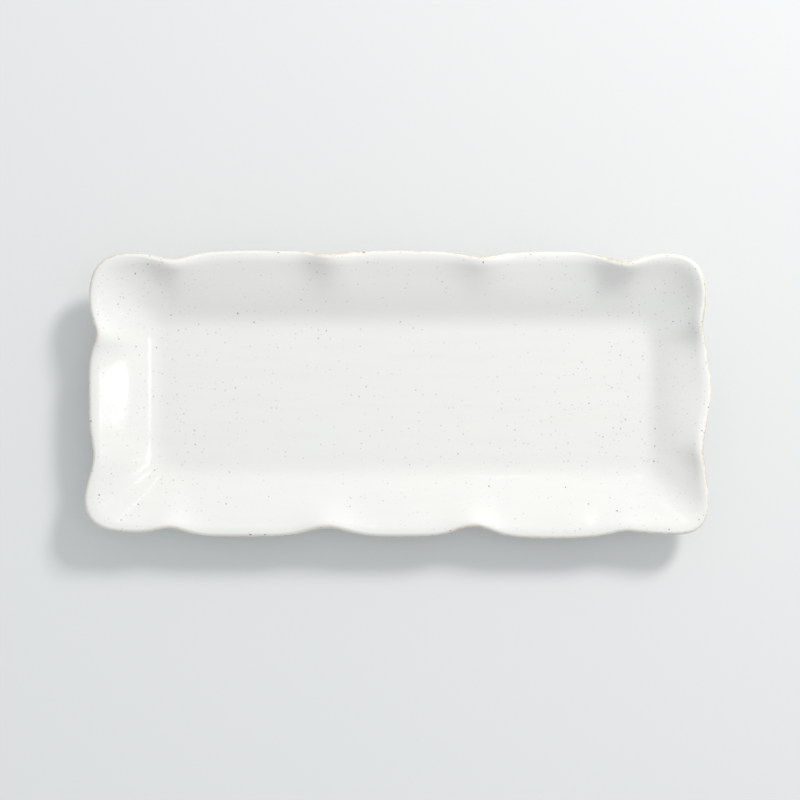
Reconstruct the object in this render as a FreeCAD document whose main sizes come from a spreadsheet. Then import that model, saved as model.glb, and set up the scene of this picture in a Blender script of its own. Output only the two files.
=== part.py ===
import FreeCAD, Part
import math
import os

import Sketcher

# China serving platter: a long hand-built tray with a coved, flaring wall and a pinched, ruffled lip.
#
# Frame: +X runs along the platter, +Y across it to the back, +Z up. The origin is the middle of the
# platter's outline, on the plane that the foot ring stands on. Lengths are in millimetres.
#
# The clay body is one slab with its wall and lip. The foot ring is a separate coil, luted into a
# scored seat under the slab. The glaze lies on them in three coats that don't meet as one: inside,
# outside, and in the recess within the foot ring, with bare clay on and beside the foot ring.

Vector = FreeCAD.Vector

SIZES = [
    ("rim_length", 374.0, "outer edge of the lip along X, before the pinches"),
    ("rim_width", 172.0, "outer edge of the lip along Y, before the pinches"),
    ("rim_squareness", 5.2, "exponent of the lip's superelliptic corners"),
    ("rim_height", 28.5, "lip above the table along the back, away from pinches and corners"),
    ("front_drop", 4.0, "how much lower the lip runs along the front"),
    ("right_drop", 3.5, "how much lower the lip runs along the right end"),
    ("left_drop", 0.5, "how much lower the lip runs along the left end"),
    ("floor_length", 289.0, "flat floor along X"),
    ("floor_width", 77.0, "flat floor along Y"),
    ("floor_shift_x", 4.5, "how far the floor lies to the right of the lip's middle"),
    ("floor_shift_y", -1.4, "how far the floor lies to the back of the lip's middle"),
    ("floor_corner", 14.0, "size of the floor's superelliptic corners"),
    ("floor_roundness", 2.5, "exponent of the floor's corners"),
    ("slab_thickness", 6.0, "clay under the floor"),
    ("lip_thickness", 4.4, "clay at the rounded lip"),
    ("cove_end", 0.34, "share of the wall's reach that curves up from the floor"),
    ("roll_start", 0.89, "share of the wall's reach from which the lip rolls over level"),
    ("corner_lift", 2.5, "extra height of the lip at the four corners"),
    ("pinch_fade", 3.2, "exponent with which a pinch dies away down the wall"),
    ("foot_height", 5.5, "underside of the slab above the table"),
    ("foot_length", 280.0, "foot ring along X"),
    ("foot_width", 71.0, "foot ring along Y"),
    ("foot_corner", 12.0, "outer corner radius of the foot ring"),
    ("foot_wall", 7.0, "width of the foot ring's coil"),
    ("foot_round", 2.0, "rounding on both sides of the bearing face"),
    ("seat_depth", 0.8, "scored seat in the slab that holds the foot ring"),
    ("glaze_thickness", 0.4, "fired coat of glaze"),
    ("glaze_break", 0.15, "glaze left where it runs thin over the lip"),
    ("break_angle", 80.0, "where the coats meet, in degrees round the lip from its inner side"),
    ("wax_margin", 2.0, "bare clay between the foot ring and the recess glaze"),
]

# Each pinch pulls the lip in by its depth, and a negative one lets a lobe flare out. The columns are
# the side of the lip, the place along that side, the depth, the spread of its bell-shaped outline,
# and the lift of the lip there, negative where the lobe droops.
PINCHES = [
    ("back", -137.0, 5.6, 15.0, 3.8),
    ("back", -42.0, 2.6, 13.0, 5.2),
    ("back", 51.0, 3.4, 14.0, 2.9),
    ("back", 137.0, 7.0, 16.0, 6.6),
    ("front", -140.0, 5.6, 15.0, 2.5),
    ("front", -43.0, 6.0, 17.0, 3.0),
    ("front", 46.0, 6.6, 15.0, 2.2),
    ("front", 138.0, 3.0, 13.0, 0.5),
    ("left", 38.0, 5.4, 12.0, 2.5),
    ("left", -39.0, 3.0, 15.0, 0.5),
    ("right", 46.0, 3.6, 13.0, 3.3),
    ("right", -34.0, 3.0, 13.0, 3.1),
    ("back", -80.0, -1.3, 45.0, -0.5),
    ("back", 3.0, -1.3, 30.0, -0.6),
    ("back", 90.0, -0.9, 35.0, -2.1),
    ("front", -168.0, 2.4, 15.0, -1.2),
    ("front", 95.0, -1.4, 30.0, -1.2),
    ("front", 160.0, 1.4, 16.0, -0.4),
    ("left", -66.0, -4.0, 16.0, -0.9),
    ("right", 3.0, -3.4, 18.0, -0.9),
    ("right", -74.0, -3.0, 16.0, -2.4),
    ("right", 76.0, 2.0, 17.0, 4.0),
]
SIDES = {"back": (0, 1), "front": (0, -1), "left": (-1, 0), "right": (1, 0)}

# How finely the free-form skins are drawn.
CORNER_STATIONS = 14
LONG_STATIONS = 36
SHORT_STATIONS = 12
WALL_SHARES = [0.0, 0.05, 0.1, 0.15, 0.2, 0.26, 0.33, 0.42, 0.52, 0.62, 0.71, 0.79, 0.86, 0.92, 0.96, 1.0]
LIP_STEPS = 3
OUTERMOST = 90.0  # degrees round the lip at which it stands out furthest
NUDGE = 0.01  # step along the wall over which its direction is measured
SEWING_GAP = 0.001


def bend(share):
    """Height gained where a slope grows smoothly from none to full, at a share of that stretch."""
    share = min(max(share, 0.0), 1.0)
    return share**3 - share**4 / 2


def pinch_alias(number, what):
    """The sheet's name for one value of one pinch."""
    return f"pinch_{number + 1}_{what}"


def make_sheet(doc):
    """The driving dimensions, each in a cell with an alias."""
    sheet = doc.addObject("Spreadsheet::Sheet", "Dimensions")
    rows = list(SIZES)
    for number, (side, place, depth, spread, lift) in enumerate(PINCHES):
        rows.append((pinch_alias(number, "place"), place, f"place along the {side} lip"))
        rows.append((pinch_alias(number, "depth"), depth, f"how far the {side} lip is pulled in"))
        rows.append((pinch_alias(number, "spread"), spread, "spread of the pinch along the lip"))
        rows.append((pinch_alias(number, "lift"), lift, "how far the lip is raised there"))
    for row, (alias, value, note) in enumerate(rows, start=1):
        sheet.set(f"A{row}", alias)
        sheet.set(f"B{row}", str(value))
        sheet.set(f"C{row}", note)
        sheet.setAlias(f"B{row}", alias)
    doc.recompute()
    return sheet


class Sizes:
    """Every driving dimension of the sheet, as a plain number under its alias."""

    def __init__(self, sheet):
        for alias, _, _ in SIZES:
            setattr(self, alias, float(sheet.get(alias)))
        self.pinches = []
        for number, (side, *_) in enumerate(PINCHES):
            across, along = SIDES[side]
            place = float(sheet.get(pinch_alias(number, "place")))
            x = across * self.rim_length / 2 if across else place
            y = along * self.rim_width / 2 if along else place
            bell = [float(sheet.get(pinch_alias(number, what))) for what in ("depth", "spread", "lift")]
            self.pinches.append((x, y, *bell))


class Wall:
    """The platter's free-form wall and lip, as rings of points at stations round the floor's edge."""

    def __init__(self, size):
        self.size = size
        self.floor_top = size.foot_height + size.slab_thickness
        self.stations = self.edge_stations()
        self.lips = [self.lip_values(station) for station in self.stations]
        self.middle = Vector(0, 0, 0)
        outline = self.ring(self.lip_point, OUTERMOST, size.glaze_break)
        ends = [[extreme(p[axis] for p in outline) for extreme in (min, max)] for axis in (0, 1)]
        self.middle = Vector(sum(ends[0]) / 2, sum(ends[1]) / 2, 0)

    def edge_stations(self):
        """(x, y, direction) round the floor's edge, counter-clockwise from the front of the right side."""
        size = self.size
        half_x, half_y = size.floor_length / 2, size.floor_width / 2
        flat_x, flat_y = half_x - size.floor_corner, half_y - size.floor_corner
        quarters = [
            ((half_x, -flat_y), (half_x, flat_y), (flat_x, flat_y), SHORT_STATIONS),
            ((flat_x, half_y), (-flat_x, half_y), (-flat_x, flat_y), LONG_STATIONS),
            ((-half_x, flat_y), (-half_x, -flat_y), (-flat_x, -flat_y), SHORT_STATIONS),
            ((-flat_x, -half_y), (flat_x, -half_y), (flat_x, -flat_y), LONG_STATIONS),
        ]
        stations = []
        for quarter, (start, end, corner, count) in enumerate(quarters):
            turn = quarter * math.pi / 2
            for k in range(count):
                x = start[0] + (end[0] - start[0]) * k / count
                y = start[1] + (end[1] - start[1]) * k / count
                stations.append((x + size.floor_shift_x, y + size.floor_shift_y, turn))
            for k in range(CORNER_STATIONS):
                x, y, direction = self.corner_point(k / CORNER_STATIONS)
                stations.append((
                    corner[0] + x * math.cos(turn) - y * math.sin(turn) + size.floor_shift_x,
                    corner[1] + x * math.sin(turn) + y * math.cos(turn) + size.floor_shift_y,
                    turn + direction,
                ))
        return stations

    def corner_point(self, share):
        """A point of a superelliptic quarter corner, and the direction square to the curve there."""
        power = 2 / self.size.floor_roundness
        c = math.cos(share * math.pi / 2)
        s = math.sin(share * math.pi / 2)
        x = self.size.floor_corner * c**power
        y = self.size.floor_corner * s**power
        return x, y, math.atan2(s ** (2 - power), c ** (2 - power))

    def lip_values(self, station):
        """At a station: the lip's reach beyond the floor, and how far it is pinched in, lifted, dropped."""
        size = self.size
        x, y, direction = station
        c, s = math.cos(direction), math.sin(direction)
        span_x = (size.rim_length - size.floor_length) / 2 + size.floor_corner
        span_x -= math.copysign(size.floor_shift_x, c)
        span_y = (size.rim_width - size.floor_width) / 2 + size.floor_corner
        span_y -= math.copysign(1, s) * size.floor_shift_y
        power = size.rim_squareness
        reach = (abs(c / span_x) ** power + abs(s / span_y) ** power) ** (-1 / power)
        edge = reach - size.floor_corner
        pinch = 0.0
        lift = size.corner_lift * math.sin(2 * direction) ** 2
        for at_x, at_y, depth, spread, raised in size.pinches:
            distance = math.hypot(x + c * edge - at_x, y + s * edge - at_y)
            bell = math.exp(-((distance / spread) ** 2))
            pinch += depth * bell
            lift += raised * bell
        drop = size.right_drop * max(0.0, c) ** 2 + size.left_drop * max(0.0, -c) ** 2
        drop += size.front_drop * max(0.0, -s) ** 2
        return edge - size.lip_thickness / 2, pinch, lift, drop

    def rise(self, share):
        """Height gained by a share of the reach: a cove, a straight stretch, and a lip rolled over level."""
        cove = self.size.cove_end
        straight = max(0.0, share - cove)
        roll = 1 - self.size.roll_start
        return cove * bend(share / cove) + straight - roll * bend((share - self.size.roll_start) / roll)

    def inner_point(self, k, share):
        """A point of the clay's upper face, from the floor's edge (share 0) to the lip (share 1)."""
        x, y, direction = self.stations[k]
        reach, pinch, lift, drop = self.lips[k]
        fade = share**self.size.pinch_fade
        out = reach * share - pinch * fade
        crown = self.size.rim_height - drop - self.size.lip_thickness / 2 - self.floor_top
        height = crown * self.rise(share) / self.rise(1.0) + lift * fade
        point = Vector(x + math.cos(direction) * out, y + math.sin(direction) * out, self.floor_top + height)
        return point - self.middle

    def axes(self, k, share):
        """Unit vectors off the clay's upper face and up along the wall, at station k."""
        after = (k + 1) % len(self.stations)
        along = self.inner_point(after, share) - self.inner_point(k - 1, share)
        low = max(0.0, share - NUDGE)
        up = self.inner_point(k, min(1.0, share + NUDGE)) - self.inner_point(k, low)
        if share == 0.0:
            up.z = 0.0
        off = up.cross(along).normalize()
        if off.z < 0:
            off = off * -1
        return off, (up - off * up.dot(off)).normalize()

    def thickness(self, share):
        """The clay's thickness at a share of the wall's reach."""
        return self.size.slab_thickness + (self.size.lip_thickness - self.size.slab_thickness) * share

    def upper_point(self, k, share, coat):
        """The clay's upper face, or the coat of glaze on it."""
        off, _ = self.axes(k, share)
        return self.inner_point(k, share) + off * coat

    def lower_point(self, k, share, coat):
        """The clay's lower face, or the coat of glaze on it."""
        off, _ = self.axes(k, share)
        return self.inner_point(k, share) - off * (self.thickness(share) + coat)

    def lip_point(self, k, angle, coat):
        """The half-round lip, from its inner side (angle 0) to its outer side (180 degrees)."""
        off, up = self.axes(k, 1.0)
        radius = self.size.lip_thickness / 2
        turn = math.radians(angle)
        centre = self.inner_point(k, 1.0) - off * radius
        return centre + (off * math.cos(turn) + up * math.sin(turn)) * (radius + coat)

    def ring(self, point, at, coat):
        """One closed ring of points round the platter."""
        return [point(k, at, coat) for k in range(len(self.stations))]

    def inside_rings(self, coat, break_coat):
        """Rings from the floor's edge up the inside to the line where the glaze breaks."""
        rings = [self.ring(self.upper_point, share, coat) for share in WALL_SHARES]
        for step in range(1, LIP_STEPS + 1):
            part = step / LIP_STEPS
            thin = coat + (break_coat - coat) * part
            rings.append(self.ring(self.lip_point, self.size.break_angle * part, thin))
        return rings

    def outside_rings(self, coat, break_coat):
        """Rings from the line where the glaze breaks, down the outside, to under the floor's edge."""
        rings = []
        for step in range(LIP_STEPS):
            part = step / LIP_STEPS
            angle = self.size.break_angle + (180 - self.size.break_angle) * part
            rings.append(self.ring(self.lip_point, angle, break_coat + (coat - break_coat) * part))
        rings += [self.ring(self.lower_point, share, coat) for share in reversed(WALL_SHARES)]
        return rings


def closed_wire(points):
    """A smooth closed curve through a ring of points, spaced evenly in its parameter."""
    curve = Part.BSplineCurve()
    knots = [float(k) for k in range(len(points) + 1)]
    curve.interpolate(Points=points, PeriodicFlag=True, Parameters=knots)
    return Part.Wire(curve.toShape())


def skin(rings):
    """A smooth face through rings of points."""
    return Part.makeLoft([closed_wire(points) for points in rings], False, False).Faces


def step_face(ring, other):
    """The narrow face between two rings."""
    return Part.makeRuledSurface(closed_wire(ring), closed_wire(other)).Faces


def level_face(ring):
    """The flat face inside a level ring."""
    return [Part.Face(closed_wire(ring))]


def sewn(faces):
    """The solid that a closed set of faces bounds."""
    shell = Part.makeShell(faces)
    shell.sewShape(SEWING_GAP)
    solid = Part.makeSolid(Part.Shell(shell.Faces))
    if solid.Volume < 0:
        solid.reverse()
    return solid


def make_feature(doc, name, shape):
    """A document object for a free-form shape."""
    feature = doc.addObject("Part::Feature", name)
    feature.Label = name
    feature.Shape = shape
    feature.Placement = FreeCAD.Placement()
    return feature


def clay_slab(wall):
    """The floor, the coved wall and the lip as one solid."""
    inside = wall.inside_rings(0.0, 0.0)
    outside = wall.outside_rings(0.0, 0.0)
    return sewn(skin(inside) + skin(outside) + level_face(inside[0]) + level_face(outside[-1]))


def inside_glaze(wall, size):
    """The coat over the floor and up the inside of the wall to the lip."""
    clay = wall.inside_rings(0.0, 0.0)
    top = wall.inside_rings(size.glaze_thickness, size.glaze_break)
    faces = skin(clay) + skin(top) + step_face(clay[-1], top[-1])
    return sewn(faces + level_face(clay[0]) + level_face(top[0]))


def outside_glaze(wall, size):
    """The coat from the lip down the outside of the wall, ending beside the foot ring."""
    clay = wall.outside_rings(0.0, 0.0)
    top = wall.outside_rings(size.glaze_thickness, size.glaze_break)
    return sewn(skin(clay) + skin(top) + step_face(clay[0], top[0]) + step_face(clay[-1], top[-1]))


def plane_of(body):
    """The body's own XY plane."""
    return next(item for item in body.Origin.OriginFeatures if item.Role == "XY_Plane")


def add_rounded_rectangle(sketch, length, width, radius, prefix):
    """A centred rectangle with round corners, its three sizes bound to expressions."""
    half_x, half_y, corner = 60.0, 30.0, 5.0
    flat_x, flat_y = half_x - corner, half_y - corner
    corners = [(flat_x, flat_y), (-flat_x, flat_y), (-flat_x, -flat_y), (flat_x, -flat_y)]
    first = sketch.GeometryCount
    for quarter, (x, y) in enumerate(corners):
        start = quarter * math.pi / 2
        circle = Part.Circle(Vector(x, y, 0), Vector(0, 0, 1), corner)
        sketch.addGeometry(Part.ArcOfCircle(circle, start, start + math.pi / 2), False)
    sides = [
        ((flat_x, half_y), (-flat_x, half_y)),
        ((-half_x, flat_y), (-half_x, -flat_y)),
        ((-flat_x, -half_y), (flat_x, -half_y)),
        ((half_x, -flat_y), (half_x, flat_y)),
    ]
    for start, end in sides:
        sketch.addGeometry(Part.LineSegment(Vector(*start, 0), Vector(*end, 0)), False)
    arcs = [first + k for k in range(4)]
    lines = [first + 4 + k for k in range(4)]
    for k in range(4):
        sketch.addConstraint(Sketcher.Constraint("Tangent", arcs[k], 2, lines[k], 1))
        sketch.addConstraint(Sketcher.Constraint("Tangent", lines[k], 2, arcs[(k + 1) % 4], 1))
    for k in range(3):
        sketch.addConstraint(Sketcher.Constraint("Equal", arcs[k], arcs[k + 1]))
    for k in (0, 2):
        sketch.addConstraint(Sketcher.Constraint("Horizontal", lines[k]))
        sketch.addConstraint(Sketcher.Constraint("Vertical", lines[k + 1]))
    sketch.addConstraint(Sketcher.Constraint("Symmetric", arcs[0], 3, arcs[2], 3, -1, 1))
    named = [
        ("length", Sketcher.Constraint("DistanceX", lines[1], 1, lines[3], 2, 2 * half_x), length),
        ("width", Sketcher.Constraint("DistanceY", lines[2], 1, lines[0], 2, 2 * half_y), width),
        ("radius", Sketcher.Constraint("Radius", arcs[0], corner), radius),
    ]
    for what, constraint, expression in named:
        index = sketch.addConstraint(constraint)
        sketch.renameConstraint(index, prefix + what)
        sketch.setExpression(f"Constraints.{prefix}{what}", expression)


def make_body(doc, name, bottom):
    """A PartDesign body with an empty sketch under the floor, at a height that an expression gives."""
    body = doc.addObject("PartDesign::Body", name)
    body.Label = name
    sketch = body.newObject("Sketcher::SketchObject", name + "_outline")
    sketch.AttachmentSupport = [(plane_of(body), "")]
    sketch.MapMode = "FlatFace"
    sketch.setExpression("AttachmentOffset.Base.x", "Dimensions.floor_shift_x")
    sketch.setExpression("AttachmentOffset.Base.y", "Dimensions.floor_shift_y")
    sketch.setExpression("AttachmentOffset.Base.z", bottom)
    return body, sketch


def make_foot_coil(doc, name, bottom, height):
    """The foot ring's plan, raised from one height by another."""
    body, sketch = make_body(doc, name, bottom)
    outer = ("Dimensions.foot_length", "Dimensions.foot_width", "Dimensions.foot_corner")
    add_rounded_rectangle(sketch, *outer, "outer_")
    inner_length = "Dimensions.foot_length - 2 * Dimensions.foot_wall"
    inner_width = "Dimensions.foot_width - 2 * Dimensions.foot_wall"
    inner_corner = "Dimensions.foot_corner - Dimensions.foot_wall"
    add_rounded_rectangle(sketch, inner_length, inner_width, inner_corner, "inner_")
    pad = body.newObject("PartDesign::Pad", name + "_pad")
    pad.Profile = sketch
    pad.setExpression("Length", height)
    sketch.Visibility = False
    doc.recompute()
    return body, pad


def make_foot_ring(doc):
    """The coil that the platter stands on, with its bearing face rounded off on both sides."""
    height = "Dimensions.foot_height + Dimensions.seat_depth"
    body, pad = make_foot_coil(doc, "foot_ring", "0", height)
    low_edges = [
        f"Edge{number}"
        for number, edge in enumerate(pad.Shape.Edges, start=1)
        if edge.BoundBox.ZMax < SEWING_GAP
    ]
    rounding = body.newObject("PartDesign::Fillet", "bearing_rounding")
    rounding.Base = (pad, low_edges)
    rounding.setExpression("Radius", "Dimensions.foot_round")
    body.Tip = rounding
    return body


def make_clay_body(doc, wall):
    """The clay slab, less the scored seat that the foot ring is luted into."""
    slab = make_feature(doc, "clay_slab", clay_slab(wall))
    seat, _ = make_foot_coil(doc, "foot_seat", "0", "Dimensions.foot_height + Dimensions.seat_depth")
    cut = doc.addObject("Part::Cut", "clay_body")
    cut.Label = "clay_body"
    cut.Base = slab
    cut.Tool = seat
    return cut


def make_recess_glaze(doc):
    """The coat under the slab, inside the foot ring."""
    body, sketch = make_body(doc, "recess_glaze", "Dimensions.foot_height - Dimensions.glaze_thickness")
    margin = "2 * (Dimensions.foot_wall + Dimensions.wax_margin)"
    length = "Dimensions.foot_length - " + margin
    width = "Dimensions.foot_width - " + margin
    add_rounded_rectangle(sketch, length, width, "Dimensions.foot_corner - Dimensions.foot_wall", "")
    pad = body.newObject("PartDesign::Pad", "recess_coat")
    pad.Profile = sketch
    pad.setExpression("Length", "Dimensions.glaze_thickness")
    return body


def main():
    """Build the document, check it, and write one STEP file for each piece."""
    doc = FreeCAD.newDocument("serving_platter")
    size = Sizes(make_sheet(doc))
    wall = Wall(size)
    pieces = [
        make_clay_body(doc, wall),
        make_foot_ring(doc),
        make_feature(doc, "inside_glaze", inside_glaze(wall, size)),
        make_feature(doc, "outside_glaze", outside_glaze(wall, size)),
        make_recess_glaze(doc),
    ]
    doc.recompute()
    for item in doc.Objects:
        if "Invalid" in item.State or "Error" in item.State:
            raise RuntimeError(f"{item.Label} failed to build: {item.State}")
        if item.TypeId == "Sketcher::SketchObject" and not item.FullyConstrained:
            raise RuntimeError(f"{item.Label} isn't fully constrained")
    for piece in pieces:
        if piece.Shape.isNull() or not piece.Shape.isValid() or len(piece.Shape.Solids) != 1:
            raise RuntimeError(f"{piece.Label} is not one valid solid")
    os.makedirs("parts", exist_ok=True)
    for piece in pieces:
        piece.Shape.exportStep(f"parts/{piece.Label}.step")
        box = piece.Shape.BoundBox
        print(f"{piece.Label}: {box.XLength:.2f} x {box.YLength:.2f} x {box.ZLength:.2f} mm,",
              f"{piece.Shape.Volume:.0f} mm3, z {box.ZMin:.2f} to {box.ZMax:.2f}")


main()
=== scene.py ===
import math

import bpy
import numpy as np
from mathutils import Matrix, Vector


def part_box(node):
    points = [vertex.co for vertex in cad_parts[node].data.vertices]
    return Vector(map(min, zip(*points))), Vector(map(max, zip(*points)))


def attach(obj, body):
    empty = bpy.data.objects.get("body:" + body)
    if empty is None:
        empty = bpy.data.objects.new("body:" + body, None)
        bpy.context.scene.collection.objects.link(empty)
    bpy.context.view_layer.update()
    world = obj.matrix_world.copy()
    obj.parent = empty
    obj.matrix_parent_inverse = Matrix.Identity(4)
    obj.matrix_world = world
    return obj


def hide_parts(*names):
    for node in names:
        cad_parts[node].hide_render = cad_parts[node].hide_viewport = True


# The looks of a hand-built china platter, in metres, around its CAD frame.
#
# The frame gives the boxes of the foot ring and of the recess glaze, and the height of the slab's
# underside. The wall and the ruffled lip are worked out again here by the same formula as the CAD, but
# finely and with the unevenness of handwork. The five meshes made here stand for the plainer CAD ones.

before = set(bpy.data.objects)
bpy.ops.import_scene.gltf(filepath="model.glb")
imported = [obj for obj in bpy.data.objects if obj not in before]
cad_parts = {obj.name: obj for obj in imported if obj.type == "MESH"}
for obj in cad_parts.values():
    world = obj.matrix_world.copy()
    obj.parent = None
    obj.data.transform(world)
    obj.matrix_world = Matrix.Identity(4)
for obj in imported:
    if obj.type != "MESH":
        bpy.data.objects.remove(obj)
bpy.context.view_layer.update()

MM = 0.001

# The un-pinched lip and the flat floor.
RIM_LENGTH = 374 * MM
RIM_WIDTH = 172 * MM
RIM_SQUARENESS = 5.2
RIM_HEIGHT = 28.5 * MM
FLOOR_LENGTH = 289 * MM
FLOOR_WIDTH = 77 * MM
FLOOR_SHIFT = (4.5 * MM, -1.4 * MM)
FLOOR_CORNER = 14 * MM
FLOOR_ROUNDNESS = 2.5

# The wall's section. The swell is the fullness that the hand leaves between the pinches.
SLAB_THICKNESS = 6 * MM
LIP_THICKNESS = 4.4 * MM
COVE_END = 0.34
ROLL_START = 0.89
CORNER_LIFT = 2.5 * MM
PINCH_FADE = 3.2
SWELL = 0.25 * MM
SWELL_AT = 0.55
SWELL_SPREAD = 0.22
SWELL_FADE = 1.5 * MM
GLAZE = 0.4 * MM
GLAZE_BREAK = 0.15 * MM
GLAZE_THINNEST = 0.82
BREAK_ANGLE = math.radians(80)
OUTERMOST = math.radians(90)

# The unevenness of handwork: how much ribs and lumps each count in the glaze's thickness, and how far
# the foot's coil and the recess glaze's edge stray.
RIB_SHARE = 0.2
LUMP_SHARE = 0.3
FOOT_WANDER = 0.12 * MM
FOOT_HOLLOW = 0.06 * MM
RECESS_WANDER = 0.25 * MM

# How much lower the lip runs along a side than along the back.
DROPS = {"front": 4.0 * MM, "right": 3.5 * MM, "left": 0.5 * MM, "back": 0.0}

# Each pinch in millimetres: the side of the lip, the place along it, the depth, the spread, and the
# lift of the lip there. A negative depth lets a lobe flare out.
PINCHES = [
    ("back", -137.0, 5.6, 15.0, 3.8),
    ("back", -42.0, 2.6, 13.0, 5.2),
    ("back", 51.0, 3.4, 14.0, 2.9),
    ("back", 137.0, 7.0, 16.0, 6.6),
    ("front", -140.0, 5.6, 15.0, 2.5),
    ("front", -43.0, 6.0, 17.0, 3.0),
    ("front", 46.0, 6.6, 15.0, 2.2),
    ("front", 138.0, 3.0, 13.0, 0.5),
    ("left", 38.0, 5.4, 12.0, 2.5),
    ("left", -39.0, 3.0, 15.0, 0.5),
    ("right", 46.0, 3.6, 13.0, 3.3),
    ("right", -34.0, 3.0, 13.0, 3.1),
    ("back", -80.0, -1.3, 45.0, -0.5),
    ("back", 3.0, -1.3, 30.0, -0.6),
    ("back", 90.0, -0.9, 35.0, -2.1),
    ("front", -168.0, 2.4, 15.0, -1.2),
    ("front", 95.0, -1.4, 30.0, -1.2),
    ("front", 160.0, 1.4, 16.0, -0.4),
    ("left", -66.0, -4.0, 16.0, -0.9),
    ("right", 3.0, -3.4, 18.0, -0.9),
    ("right", -74.0, -3.0, 16.0, -2.4),
    ("right", 76.0, 2.0, 17.0, 4.0),
]
SIDES = {"back": (0, 1), "front": (0, -1), "left": (-1, 0), "right": (1, 0)}

# How finely the meshes are drawn.
CORNER_STATIONS = 32
LONG_STATIONS = 230
SHORT_STATIONS = 64
WALL_ROWS = 44
LIP_ROWS = 7
BACKING_ROWS = 24
ROUND_STEPS = 7
SIDE_STEPS = 90
NUDGE = 0.01

# The foot ring's coil, and the slip that is smoothed into the corners beside it.
FOOT_WALL = 7 * MM
FOOT_CORNER = 12 * MM
FOOT_ROUND = 2 * MM
FOOT_SLIP = 1.2 * MM
FOOT_EMBEDDED = 0.3 * MM
RECESS_EDGE = 0.8 * MM

FOOT_LOW, FOOT_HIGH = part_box("foot_ring")
RECESS_LOW, RECESS_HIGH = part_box("recess_glaze")
SLAB_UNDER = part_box("clay_body")[0].z
FLOOR_TOP = SLAB_UNDER + SLAB_THICKNESS


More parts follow.
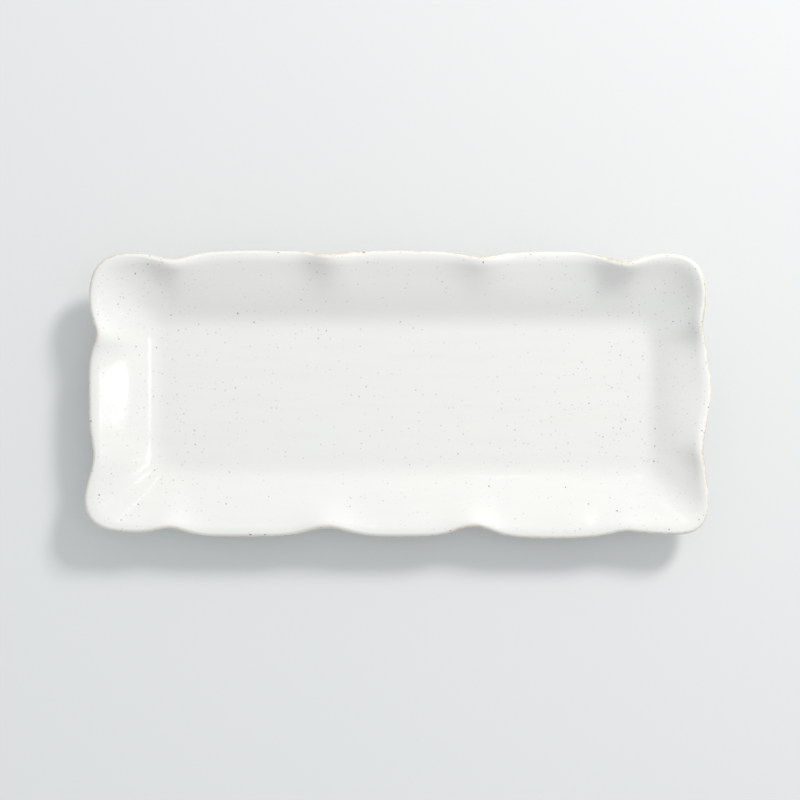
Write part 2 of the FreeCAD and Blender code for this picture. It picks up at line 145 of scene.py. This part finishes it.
class Wall:
    """The platter's wall and lip, as rings of points at stations round the floor's edge."""

    def __init__(self):
        self.base, self.direction = self.edge_stations()
        self.across = np.stack([np.cos(self.direction), np.sin(self.direction)], axis=1)
        self.reach, self.pinch, self.lift, self.drop = self.lip_values()
        self.middle = np.zeros(3)
        outline = self.lip_ring(OUTERMOST, GLAZE_BREAK)
        self.middle[:2] = (outline.min(axis=0)[:2] + outline.max(axis=0)[:2]) / 2

    def edge_stations(self):
        """Points round the floor's edge and the direction off it, from the front of the right side."""
        half = np.array([FLOOR_LENGTH, FLOOR_WIDTH]) / 2
        shift = np.array(FLOOR_SHIFT)
        flat = half - FLOOR_CORNER
        quarters = [
            ((half[0], -flat[1]), (half[0], flat[1]), (flat[0], flat[1]), SHORT_STATIONS),
            ((flat[0], half[1]), (-flat[0], half[1]), (-flat[0], flat[1]), LONG_STATIONS),
            ((-half[0], flat[1]), (-half[0], -flat[1]), (-flat[0], -flat[1]), SHORT_STATIONS),
            ((-flat[0], -half[1]), (flat[0], -half[1]), (flat[0], -flat[1]), LONG_STATIONS),
        ]
        power = 2 / FLOOR_ROUNDNESS
        share = np.arange(CORNER_STATIONS) / CORNER_STATIONS * math.pi / 2
        c, s = np.cos(share), np.sin(share)
        x, y = FLOOR_CORNER * c**power, FLOOR_CORNER * s**power
        bend = np.arctan2(s ** (2 - power), c ** (2 - power))
        points, directions = [], []
        for quarter, (start, end, corner, count) in enumerate(quarters):
            turn = quarter * math.pi / 2
            along = (np.arange(count) / count)[:, None]
            points.append(np.array(start) * (1 - along) + np.array(end) * along + shift)
            directions.append(np.full(count, turn))
            turned_x = x * math.cos(turn) - y * math.sin(turn)
            turned_y = x * math.sin(turn) + y * math.cos(turn)
            points.append(np.array(corner) + np.stack([turned_x, turned_y], axis=1) + shift)
            directions.append(bend + turn)
        return np.concatenate(points), np.concatenate(directions)

    def lip_values(self):
        """At each station: the wall's reach, and how far the lip is pinched in, lifted and dropped."""
        margin = np.array([RIM_LENGTH - FLOOR_LENGTH, RIM_WIDTH - FLOOR_WIDTH]) / 2 + FLOOR_CORNER
        span = margin - np.array(FLOOR_SHIFT) * np.sign(self.across)
        shares = np.abs(self.across / span) ** RIM_SQUARENESS
        edge = shares.sum(axis=1) ** (-1 / RIM_SQUARENESS) - FLOOR_CORNER
        lip = self.base + self.across * edge[:, None]
        pinch = np.zeros(len(lip))
        lift = CORNER_LIFT * np.sin(2 * self.direction) ** 2
        for side, place, depth, spread, raised in PINCHES:
            out_x, out_y = SIDES[side]
            at_x = out_x * RIM_LENGTH / 2 if out_x else place * MM
            at_y = out_y * RIM_WIDTH / 2 if out_y else place * MM
            distance = np.hypot(lip[:, 0] - at_x, lip[:, 1] - at_y)
            bell = np.exp(-((distance / (spread * MM)) ** 2))
            pinch += depth * MM * bell
            lift += raised * MM * bell
        drop = sum(DROPS[side] * np.maximum(0, self.across @ SIDES[side]) ** 2 for side in SIDES)
        return edge - LIP_THICKNESS / 2, pinch, lift, drop

    def inner_ring(self, share):
        """The clay's upper face at a share of the wall's reach."""
        rise = wall_rise(share) / wall_rise(1.0)
        fade = share**PINCH_FADE
        out = self.reach * share - self.pinch * fade
        crown = RIM_HEIGHT - self.drop - LIP_THICKNESS / 2 - FLOOR_TOP
        height = FLOOR_TOP + crown * rise + self.lift * fade + self.swell(share)
        flat = self.base + self.across * out[:, None]
        return np.column_stack([flat, height]) - self.middle

    def swell(self, share):
        """How far the wall swells up between the pinches, where the hand left it a little full."""
        lobe = np.exp(-np.maximum(self.pinch, 0) / SWELL_FADE)
        fullness = math.exp(-(((share - SWELL_AT) / SWELL_SPREAD) ** 2)) * (1 - share) / (1 - SWELL_AT)
        return SWELL * lobe * fullness

    def axes(self, share):
        """Unit vectors off the clay's upper face and up along the wall."""
        here = self.inner_ring(share)
        along = np.roll(here, -1, axis=0) - np.roll(here, 1, axis=0)
        up = self.inner_ring(min(1.0, share + NUDGE)) - self.inner_ring(max(0.0, share - NUDGE))
        if share == 0:
            up[:, 2] = 0
        off = np.cross(along, up)
        off *= np.sign(off[:, 2:3])
        off = unit(off)
        return off, unit(up - off * (up * off).sum(axis=1, keepdims=True))

    def upper_ring(self, share, coat):
        """The clay's upper face, or the glaze on it."""
        off, _ = self.axes(share)
        ring = self.inner_ring(share)
        return ring + off * (coat * thinning(ring))[:, None]

    def lower_ring(self, share, coat):
        """The clay's lower face, or the glaze on it."""
        off, _ = self.axes(share)
        thickness = SLAB_THICKNESS + (LIP_THICKNESS - SLAB_THICKNESS) * share
        return self.inner_ring(share) - off * (thickness + coat)

    def lip_ring(self, angle, coat):
        """The half-round lip, at an angle round it from its inner side."""
        off, up = self.axes(1.0)
        radius = LIP_THICKNESS / 2
        turned = off * math.cos(angle) + up * math.sin(angle)
        return self.inner_ring(1.0) - off * radius + turned * (radius + coat)


def bend(share):
    """The height gained where a slope grows smoothly from none to full, at a share of that stretch."""
    share = min(max(share, 0.0), 1.0)
    return share**3 - share**4 / 2


def wall_rise(share):
    """The wall's rise: a cove from the floor, a straight stretch, and a lip that rolls over level."""
    straight = max(0.0, share - COVE_END)
    roll = 1 - ROLL_START
    return COVE_END * bend(share / COVE_END) + straight - roll * bend((share - ROLL_START) / roll)


def unit(vectors):
    """Each vector at length one."""
    return vectors / np.linalg.norm(vectors, axis=1, keepdims=True)


def thinning(points):
    """The share of its full thickness that the glaze has over the hand-smoothed clay."""
    x, y = points[:, 0] / MM, points[:, 1] / MM
    ribs = (np.sin(y / 2.7 + 0.6 * np.sin(x / 61)) + 0.6 * np.sin(y / 1.6 + x / 190 + 1.3)) / 1.6
    lumps = np.sin(x / 9.1 + 1.1 * np.sin(y / 13)) * np.sin(y / 7.3 + 0.8 * np.sin(x / 17))
    uneven = 0.5 + RIB_SHARE * ribs - LUMP_SHARE * lumps
    return 1 - (1 - GLAZE_THINNEST) * uneven


def inside_rings(wall, rows, coat, break_coat):
    """Rings from the floor's edge up to the lip's break line, and how near each is to that line."""
    rings = [(wall.upper_ring(row / rows, coat), 0.0) for row in range(rows + 1)]
    for row in range(1, LIP_ROWS + 1):
        part = row / LIP_ROWS
        rings.append((wall.lip_ring(BREAK_ANGLE * part, coat + (break_coat - coat) * part), part))
    return rings


def outside_rings(wall, rows, coat, break_coat):
    """Rings from the lip's break line down to under the floor's edge."""
    rings = []
    for row in range(LIP_ROWS):
        part = row / LIP_ROWS
        angle = BREAK_ANGLE + (math.pi - BREAK_ANGLE) * part
        rings.append((wall.lip_ring(angle, break_coat + (coat - break_coat) * part), 1 - part))
    rings += [(wall.lower_ring(1 - row / rows, coat), 0.0) for row in range(rows + 1)]
    return rings


class MeshMaker:
    """Collects vertices and faces, with the glaze value that the material reads."""

    def __init__(self):
        self.vertices = []
        self.faces = []
        self.thin = []
        self.count = 0

    def add_ring(self, points, thin):
        """Add a ring of points and return the index of its first one."""
        first = self.count
        self.vertices.append(points)
        self.thin.append(np.broadcast_to(thin, len(points)))
        self.count += len(points)
        return first

    def bridge(self, low, high, count):
        """Quads between two rings that start at the given vertices."""
        here = np.arange(count)
        after = (here + 1) % count
        quads = np.stack([low + here, high + here, high + after, low + after], axis=1)
        self.faces += quads.tolist()

    def cap(self, first, count, upward):
        """One face over the ring that starts at a vertex."""
        face = [first + k for k in range(count)]
        self.faces.append(face if upward else face[::-1])

    def build(self, name):
        """The finished mesh object."""
        mesh = bpy.data.meshes.new(name)
        mesh.from_pydata(np.concatenate(self.vertices).tolist(), [], self.faces)
        mesh.validate()
        mesh.polygons.foreach_set("use_smooth", np.ones(len(mesh.polygons), bool))
        attribute = mesh.attributes.new("thin_glaze", "FLOAT", "POINT")
        attribute.data.foreach_set("value", np.concatenate(self.thin).astype(np.float32))
        piece = bpy.data.objects.new(name, mesh)
        bpy.context.scene.collection.objects.link(piece)
        return piece


def floor_grid(ring):
    """A grid over the floor whose border is the ring, corners at the middles of the round corners."""
    half_corner = CORNER_STATIONS // 2
    count = len(ring)
    short = SHORT_STATIONS + CORNER_STATIONS
    long = LONG_STATIONS + CORNER_STATIONS
    start = count - half_corner
    around = [(start + k) % count for k in range(count)]
    right = around[: short + 1]
    back = around[short : short + long + 1]
    left = around[short + long : 2 * short + long + 1]
    front = around[2 * short + long :] + [around[0]]
    return right, back, left, front


def coons(ring, right, back, left, front):
    """Points of the grid inside a ring, from its four sides: rows go from front to back."""
    low, high = ring[front], ring[back[::-1]]
    west, east = ring[left[::-1]], ring[right]
    a = np.linspace(0, 1, len(front))[None, :, None]
    b = np.linspace(0, 1, len(right))[:, None, None]
    sides = (1 - b) * low[None] + b * high[None] + (1 - a) * west[:, None] + a * east[:, None]
    corners = (1 - a) * (1 - b) * low[0] + a * (1 - b) * low[-1] + (1 - a) * b * high[0] + a * b * high[-1]
    return sides - corners


def fill_floor(maker, first, ring, coat):
    """Fill the floor inside a ring of vertices with an even grid under a coat of glaze."""
    right, back, left, front = floor_grid(ring)
    points = coons(ring, right, back, left, front)
    rows, columns = points.shape[:2]
    index = np.empty((rows, columns), int)
    inner = points[1:-1, 1:-1].reshape(-1, 3)
    inner[:, 2] = FLOOR_TOP + coat * thinning(inner)
    inner_first = maker.add_ring(inner, 0.0)
    index[1:-1, 1:-1] = inner_first + np.arange((rows - 2) * (columns - 2)).reshape(rows - 2, columns - 2)
    index[0] = first + np.array(front)
    index[-1] = first + np.array(back[::-1])
    index[:, 0] = first + np.array(left[::-1])
    index[:, -1] = first + np.array(right)
    quads = np.stack([index[:-1, :-1], index[:-1, 1:], index[1:, 1:], index[1:, :-1]], axis=-1)
    maker.faces += quads.reshape(-1, 4).tolist()


def make_inside_glaze(wall):
    """The glaze over the floor and up the wall to the lip, a closed skin."""
    maker = MeshMaker()
    top = inside_rings(wall, WALL_ROWS, GLAZE, GLAZE_BREAK)
    backing = inside_rings(wall, BACKING_ROWS, 0.0, 0.0)
    count = len(wall.base)
    firsts = [maker.add_ring(points, thin) for points, thin in top]
    for low, high in zip(firsts, firsts[1:]):
        maker.bridge(low, high, count)
    backing_firsts = [maker.add_ring(points, thin) for points, thin in reversed(backing)]
    maker.bridge(firsts[-1], backing_firsts[0], count)
    for low, high in zip(backing_firsts, backing_firsts[1:]):
        maker.bridge(low, high, count)
    fill_floor(maker, firsts[0], top[0][0], GLAZE)
    maker.cap(backing_firsts[-1], count, upward=False)
    return maker.build("glaze_inside")


def make_outside_glaze(wall):
    """The glaze from the lip down the outside of the wall, a closed skin."""
    maker = MeshMaker()
    top = outside_rings(wall, WALL_ROWS, GLAZE, GLAZE_BREAK)
    backing = outside_rings(wall, BACKING_ROWS, 0.0, 0.0)
    count = len(wall.base)
    rings = top + backing[::-1]
    firsts = [maker.add_ring(points, thin) for points, thin in rings]
    for low, high in zip(firsts, firsts[1:] + firsts[:1]):
        maker.bridge(low, high, count)
    return maker.build("glaze_outside")


def make_clay(wall):
    """The slab with its wall and lip, a closed skin."""
    maker = MeshMaker()
    inside = inside_rings(wall, BACKING_ROWS, 0.0, 0.0)
    outside = outside_rings(wall, BACKING_ROWS, 0.0, 0.0)
    count = len(wall.base)
    firsts = [maker.add_ring(points, 0.0) for points, _ in inside + outside[1:]]
    for low, high in zip(firsts, firsts[1:]):
        maker.bridge(low, high, count)
    maker.cap(firsts[0], count, upward=True)
    maker.cap(firsts[-1], count, upward=False)
    return maker.build("clay_slab")


def rounded_rectangle(half, radius):
    """Points round a centred rectangle with round corners, and the unit vectors off it."""
    flat = half - radius
    turns = np.arange(ROUND_STEPS + 1) / ROUND_STEPS * math.pi / 2
    share = (np.arange(1, SIDE_STEPS) / SIDE_STEPS)[:, None]
    corners = np.array([(1, 1), (-1, 1), (-1, -1), (1, -1)]) * flat
    points, off = [], []
    for quarter, corner in enumerate(corners):
        turned = turns + quarter * math.pi / 2
        vectors = np.stack([np.cos(turned), np.sin(turned)], axis=1)
        arc = corner + vectors * radius
        after = corners[(quarter + 1) % 4] + vectors[-1] * radius
        points += [arc, arc[-1] * (1 - share) + after * share]
        off += [vectors, np.repeat(vectors[-1:], SIDE_STEPS - 1, axis=0)]
    return np.concatenate(points), np.concatenate(off)


def foot_section():
    """The foot ring's section from its outer top, under the bearing face, to its inner top."""
    half = FOOT_WALL / 2
    turns = np.arange(ROUND_STEPS + 1) / ROUND_STEPS * math.pi / 2
    c, s = np.cos(turns), np.sin(turns)
    slip = np.stack([half + FOOT_SLIP * (1 - s), SLAB_UNDER - FOOT_SLIP * (1 - c)], axis=1)
    rounding = np.stack([half - FOOT_ROUND * (1 - c), FOOT_ROUND * (1 - s)], axis=1)
    top = np.array([[half + FOOT_SLIP, SLAB_UNDER + FOOT_EMBEDDED]])
    outer = np.concatenate([top, slip, rounding])
    return np.concatenate([outer, outer[::-1] * (-1, 1)])


def make_foot():
    """The coil that the platter stands on, a little uneven, with slip smoothed into its corners."""
    maker = MeshMaker()
    middle = (np.array(FOOT_LOW[:2]) + np.array(FOOT_HIGH[:2])) / 2
    half = (np.array(FOOT_HIGH[:2]) - np.array(FOOT_LOW[:2])) / 2 - FOOT_WALL / 2
    line, off = rounded_rectangle(half, FOOT_CORNER - FOOT_WALL / 2)
    x, y = line[:, 0] / MM, line[:, 1] / MM
    wander = FOOT_WANDER * np.sin(x / 13 + y / 9) * np.sin(x / 5.7 - y / 6.1)
    hollow = FOOT_HOLLOW * (1 + np.sin(x / 17 + y / 11 + 0.7))
    firsts = []
    for out, height in foot_section():
        lifted = height + hollow * (1 - height / SLAB_UNDER) * (height < SLAB_UNDER)
        ring = middle + line + off * (out + wander * (height < SLAB_UNDER))[:, None]
        firsts.append(maker.add_ring(np.column_stack([ring, lifted]), 0.0))
    for low, high in zip(firsts, firsts[1:] + firsts[:1]):
        maker.bridge(low, high, len(line))
    return maker.build("foot_coil")


def make_recess_glaze():
    """The coat within the foot ring, with a rounded and slightly wandering edge."""
    maker = MeshMaker()
    middle = (np.array(RECESS_LOW[:2]) + np.array(RECESS_HIGH[:2])) / 2
    half = (np.array(RECESS_HIGH[:2]) - np.array(RECESS_LOW[:2])) / 2
    line, off = rounded_rectangle(half, FOOT_CORNER - FOOT_WALL)
    x, y = line[:, 0] / MM, line[:, 1] / MM
    inset = RECESS_WANDER * (1 + np.sin(x / 7 + y / 5) * np.sin(x / 3.1 - y / 4.3))
    turns = np.arange(ROUND_STEPS + 1) / ROUND_STEPS * math.pi / 2
    section = [(RECESS_EDGE, 0.0)]
    section += [(RECESS_EDGE * (1 - math.cos(turn)), GLAZE * math.sin(turn)) for turn in turns]
    section += [(2 * RECESS_EDGE, GLAZE)]
    firsts = []
    for inward, deep in section:
        ring = middle + line - off * (inset + inward)[:, None]
        height = np.full(len(ring), SLAB_UNDER - deep)
        firsts.append(maker.add_ring(np.column_stack([ring, height]), 0.0))
    for low, high in zip(firsts, firsts[1:]):
        maker.bridge(low, high, len(line))
    maker.cap(firsts[0], len(line), upward=True)
    maker.cap(firsts[-1], len(line), upward=False)
    return maker.build("glaze_recess")


class Nodes:
    """A material's node tree, with short ways to add and link nodes."""

    def __init__(self, name):
        self.material = bpy.data.materials.new(name)
        self.material.use_nodes = True
        self.tree = self.material.node_tree
        self.shader = self.tree.nodes["Principled BSDF"]

    def add(self, kind, inputs=None, **settings):
        """Add a node; a node or socket given as an input is linked, anything else is its value."""
        node = self.tree.nodes.new(kind)
        for name, value in settings.items():
            setattr(node, name, value)
        for name, value in (inputs or {}).items():
            self.feed(node.inputs[name], value)
        return node

    def feed(self, socket, value):
        """Link a socket to a node's first output or to a socket, or set its value."""
        if isinstance(value, bpy.types.Node):
            self.tree.links.new(value.outputs[0], socket)
        elif isinstance(value, bpy.types.NodeSocket):
            self.tree.links.new(value, socket)
        else:
            socket.default_value = value

    def math(self, operation, first, second=0.0):
        """A maths node."""
        return self.add("ShaderNodeMath", {0: first, 1: second}, operation=operation)

    def ramp(self, value, low, high, start=0.0, end=1.0):
        """A smooth step from one value to another."""
        inputs = {"Value": value, "From Min": low, "From Max": high, "To Min": start, "To Max": end}
        return self.add("ShaderNodeMapRange", inputs, interpolation_type="SMOOTHSTEP")

    def mix(self, factor, first, second):
        """Blend two colours."""
        node = self.add("ShaderNodeMix", {0: factor}, data_type="RGBA")
        self.feed(node.inputs["A"], first)
        self.feed(node.inputs["B"], second)
        return node.outputs["Result"]

    def object_point(self):
        """The point on the object, in metres."""
        return self.add("ShaderNodeTexCoord").outputs["Object"]

    def near(self, point, centre, reach, most):
        """Falls smoothly from a value at a place to none at a distance from it."""
        away = self.add("ShaderNodeVectorMath", {0: point, 1: centre}, operation="DISTANCE")
        return self.ramp(away.outputs["Value"], reach, 0.0, 0.0, most)

    def noise(self, vector, scale, detail=2.0, roughness=0.5):
        """Smooth noise, with a number of waves per metre."""
        inputs = {"Vector": vector, "Scale": scale, "Detail": detail, "Roughness": roughness}
        return self.add("ShaderNodeTexNoise", inputs).outputs["Fac"]


WHITE_WARM = (0.866, 0.860, 0.836, 1)
WHITE_COOL = (0.856, 0.860, 0.844, 1)
WHITE_STREAK = (0.830, 0.825, 0.800, 1)
SPECK_FAINT = (0.40, 0.37, 0.34, 1)
SPECK_DARK = (0.20, 0.15, 0.12, 1)
SPECK_RUST = (0.26, 0.15, 0.08, 1)
LIP_CREAM = (0.845, 0.820, 0.765, 1)
LIP_TAN = (0.66, 0.56, 0.44, 1)

# Specks: cells per metre, the largest radius in metres, how much of its colour each shows, and where
# in the pattern they start.
FAINT_SPECKS = (370.0, 0.0009, 0.32, (0.31, 0.17, 0.05))
STRONG_SPECKS = (200.0, 0.0008, 0.80, (0.72, 0.43, 0.11))
RUST_SPECKS = (230.0, 0.0013, 0.85, (0.13, 0.77, 0.29))
GRIT_SPECKS = (500.0, 0.0004, 0.60, (0.2, 0.5, 0.9))
SMALLEST_SPECK = 0.45

# Where the specks lie closest together.
SPECKLED_PATCH = (-0.134, -0.018, 0.012)
SPECKLED_REACH = 0.055

# How rough each surface is, from its smoothest to its roughest places.
GLAZE_ROUGHNESS = (0.09, 0.15)
BISQUE_ROUGHNESS = (0.75, 0.95)
PAPER_ROUGHNESS = 0.9
GLAZE_IOR = 1.5

PAPER_DARK = (0.785, 0.80, 0.80, 1)
PAPER_LIGHT = (0.80, 0.81, 0.81, 1)
STUDIO_HALF_SIDE = 6.0

BISQUE_LIGHT = (0.66, 0.57, 0.45, 1)
BISQUE_DARK = (0.50, 0.41, 0.31, 1)


def add_specks(nodes, point, base, kind, chance, speck_colour):
    """Round specks over a colour, in a share of the cells given by a chance."""
    per_metre, radius, shown_share, offset = kind
    moved = nodes.add("ShaderNodeVectorMath", {0: point, 1: offset}, operation="ADD")
    cells = nodes.add("ShaderNodeTexVoronoi", {"Vector": moved, "Scale": per_metre, "Randomness": 1.0})
    colour = nodes.add("ShaderNodeSeparateColor", {"Color": cells.outputs["Color"]})
    shown = nodes.math("LESS_THAN", colour.outputs["Red"], chance)
    size = nodes.ramp(colour.outputs["Green"], 0.0, 1.0, SMALLEST_SPECK * radius * per_metre,
                      radius * per_metre)
    edge = nodes.math("DIVIDE", cells.outputs["Distance"], size)
    dot = nodes.ramp(edge, 1.0, 0.35)
    strength = nodes.ramp(colour.outputs["Blue"], 0.0, 1.0, 0.35, 1.0)
    mask = nodes.math("MULTIPLY", nodes.math("MULTIPLY", dot, shown), strength)
    return nodes.mix(nodes.math("MULTIPLY", mask, shown_share), base, speck_colour)


def speck_chance(nodes, point):
    """How likely a speck is at a point: rare in the middle, common at the platter's ends."""
    scattered = nodes.ramp(nodes.noise(point, 11.0, 2.0), 0.35, 0.65, 0.16, 0.42)
    along = nodes.add("ShaderNodeSeparateXYZ", {"Vector": point}).outputs["X"]
    ends = nodes.ramp(nodes.math("ABSOLUTE", along), 0.08, 0.15, 0.0, 0.45)
    patch = nodes.near(point, SPECKLED_PATCH, SPECKLED_REACH, 0.4)
    return nodes.math("ADD", nodes.math("ADD", scattered, ends), patch)


def glaze_material():
    """Glossy white glaze with iron specks, faint drifts of colour, and a tan line where it runs thin."""
    nodes = Nodes("speckled_white_glaze")
    point = nodes.object_point()
    drift = nodes.noise(point, 14.0, 3.0)
    base = nodes.mix(nodes.ramp(drift, 0.35, 0.65), WHITE_COOL, WHITE_WARM)
    stretched = nodes.add("ShaderNodeMapping", {"Vector": point, "Scale": (0.12, 1.0, 1.0)})
    streaks = nodes.noise(stretched, 190.0, 3.0, 0.6)
    base = nodes.mix(nodes.ramp(streaks, 0.4, 0.75, 0.0, 0.35), base, WHITE_STREAK)

    thin = nodes.add("ShaderNodeAttribute", attribute_name="thin_glaze").outputs["Fac"]
    patch = nodes.noise(point, 16.0, 2.0)
    ragged = nodes.noise(point, 260.0, 3.0, 0.6)
    base = nodes.mix(nodes.ramp(thin, 0.0, 0.5, 0.0, 0.9), base, LIP_CREAM)
    reach = nodes.math("ADD", thin, nodes.ramp(ragged, 0.3, 0.7, -0.25, 0.25))
    tan = nodes.math("MULTIPLY", nodes.ramp(reach, 0.35, 1.0), nodes.ramp(patch, 0.40, 0.60, 0.15, 0.85))
    base = nodes.mix(tan, base, LIP_TAN)

    chance = speck_chance(nodes, point)
    base = add_specks(nodes, point, base, FAINT_SPECKS, chance, SPECK_FAINT)
    base = add_specks(nodes, point, base, STRONG_SPECKS, chance, SPECK_DARK)
    base = add_specks(nodes, point, base, RUST_SPECKS, nodes.ramp(thin, 0.02, 0.35, 0.0, 0.42), SPECK_RUST)
    nodes.feed(nodes.shader.inputs["Base Color"], base)

    gloss = nodes.noise(point, 40.0, 3.0)
    nodes.feed(nodes.shader.inputs["Roughness"], nodes.ramp(gloss, 0.3, 0.7, *GLAZE_ROUGHNESS))
    peel = nodes.noise(point, 420.0, 2.0)
    bump = nodes.add("ShaderNodeBump", {"Strength": 0.06, "Distance": 0.0004, "Height": peel})
    nodes.feed(nodes.shader.inputs["Normal"], bump)
    nodes.shader.inputs["IOR"].default_value = GLAZE_IOR
    return nodes.material


def bisque_material():
    """Bare fired clay: matt, warm and a little gritty."""
    nodes = Nodes("bare_fired_clay")
    point = nodes.object_point()
    patches = nodes.noise(point, 30.0, 4.0, 0.6)
    base = nodes.mix(nodes.ramp(patches, 0.3, 0.7), BISQUE_LIGHT, BISQUE_DARK)
    base = add_specks(nodes, point, base, GRIT_SPECKS, 0.5, SPECK_DARK)
    nodes.feed(nodes.shader.inputs["Base Color"], base)
    grain = nodes.noise(point, 900.0, 4.0, 0.7)
    nodes.feed(nodes.shader.inputs["Roughness"], nodes.ramp(grain, 0.3, 0.7, *BISQUE_ROUGHNESS))
    bump = nodes.add("ShaderNodeBump", {"Strength": 0.5, "Distance": 0.0003, "Height": grain})
    nodes.feed(nodes.shader.inputs["Normal"], bump)
    return nodes.material


def paper_material():
    """The plain pale floor of the studio."""
    nodes = Nodes("studio_paper")
    tone = nodes.noise(nodes.object_point(), 6.0, 2.0)
    base = nodes.mix(tone, PAPER_DARK, PAPER_LIGHT)
    nodes.feed(nodes.shader.inputs["Base Color"], base)
    nodes.shader.inputs["Roughness"].default_value = PAPER_ROUGHNESS
    return nodes.material


def finish_piece(piece, node, material):
    """Give a piece its material and its place in the frame."""
    piece.data.materials.clear()
    piece.data.materials.append(material)
    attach(piece, "root")
    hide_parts(node)


def make_studio():
    """The pale floor, on which the platter stands."""
    side = STUDIO_HALF_SIDE
    corners = [(-side, -side, 0), (side, -side, 0), (side, side, 0), (-side, side, 0)]
    mesh = bpy.data.meshes.new("studio_floor")
    mesh.from_pydata(corners, [], [(0, 1, 2, 3)])
    floor = bpy.data.objects.new("studio_floor", mesh)
    bpy.context.scene.collection.objects.link(floor)
    floor.data.materials.append(paper_material())


def direction_to(azimuth, elevation):
    """The unit vector towards a compass angle, from +X towards +Y, and a height angle, in degrees."""
    a, e = math.radians(azimuth), math.radians(elevation)
    return Vector((math.cos(a) * math.cos(e), math.sin(a) * math.cos(e), math.sin(e)))


# Each light: name, azimuth and elevation in degrees, width and height in metres, watts, colour.
LIGHTS = [
    ("key", 51, 35, 0.42, 0.42, 29, (1.0, 0.99, 0.97)),
    ("right_window", 2, 60.5, 0.16, 0.17, 0.46, (1.0, 1.0, 1.0)),
    ("corner_window", 27, 65, 0.22, 0.18, 0.55, (1.0, 1.0, 1.0)),
    ("back_window", 79, 65, 0.06, 0.18, 0.16, (1.0, 1.0, 1.0)),
]
LIGHT_DISTANCE = 2.2
SKY_COLOUR = (0.97, 0.99, 1.0, 1)
SKY_STRENGTH = 0.665

# The camera: its lens and sensor in millimetres, the view's width at the lip and the shift in metres.
LENS = 85
SENSOR = 36
VIEW_WIDTH = 482.5 * MM
CAMERA_SHIFT = (0.9 * MM, -3.2 * MM)


def add_light(name, azimuth, elevation, width, height, watts, colour):
    """A rectangular soft light that faces the platter."""
    light = bpy.data.lights.new(name, "AREA")
    light.shape = "RECTANGLE"
    light.size = width
    light.size_y = height
    light.energy = watts
    light.color = colour
    lamp = bpy.data.objects.new(name, light)
    towards = direction_to(azimuth, elevation)
    lamp.location = towards * LIGHT_DISTANCE
    lamp.rotation_euler = towards.to_track_quat("Z", "Y").to_euler()
    bpy.context.scene.collection.objects.link(lamp)


def make_lights():
    """A soft key from the back right, three small softboxes for highlights, and an even sky."""
    for light in LIGHTS:
        add_light(*light)
    world = bpy.data.worlds.new("sky")
    world.use_nodes = True
    background = world.node_tree.nodes["Background"]
    background.inputs["Color"].default_value = SKY_COLOUR
    background.inputs["Strength"].default_value = SKY_STRENGTH
    bpy.context.scene.world = world


def make_camera():
    """A long lens straight above the platter."""
    camera = bpy.data.cameras.new("camera")
    camera.lens = LENS
    camera.sensor_width = SENSOR
    holder = bpy.data.objects.new("camera", camera)
    holder.location = (*CAMERA_SHIFT, RIM_HEIGHT + VIEW_WIDTH * LENS / SENSOR)
    bpy.context.scene.collection.objects.link(holder)
    bpy.context.scene.camera = holder


wall = Wall()
glaze = glaze_material()
bisque = bisque_material()
finish_piece(make_inside_glaze(wall), "inside_glaze", glaze)
finish_piece(make_outside_glaze(wall), "outside_glaze", glaze)
finish_piece(make_recess_glaze(), "recess_glaze", glaze)
finish_piece(make_clay(wall), "clay_body", bisque)
finish_piece(make_foot(), "foot_ring", bisque)
make_studio()
make_lights()
make_camera()
bpy.context.scene.view_settings.view_transform = "Standard"
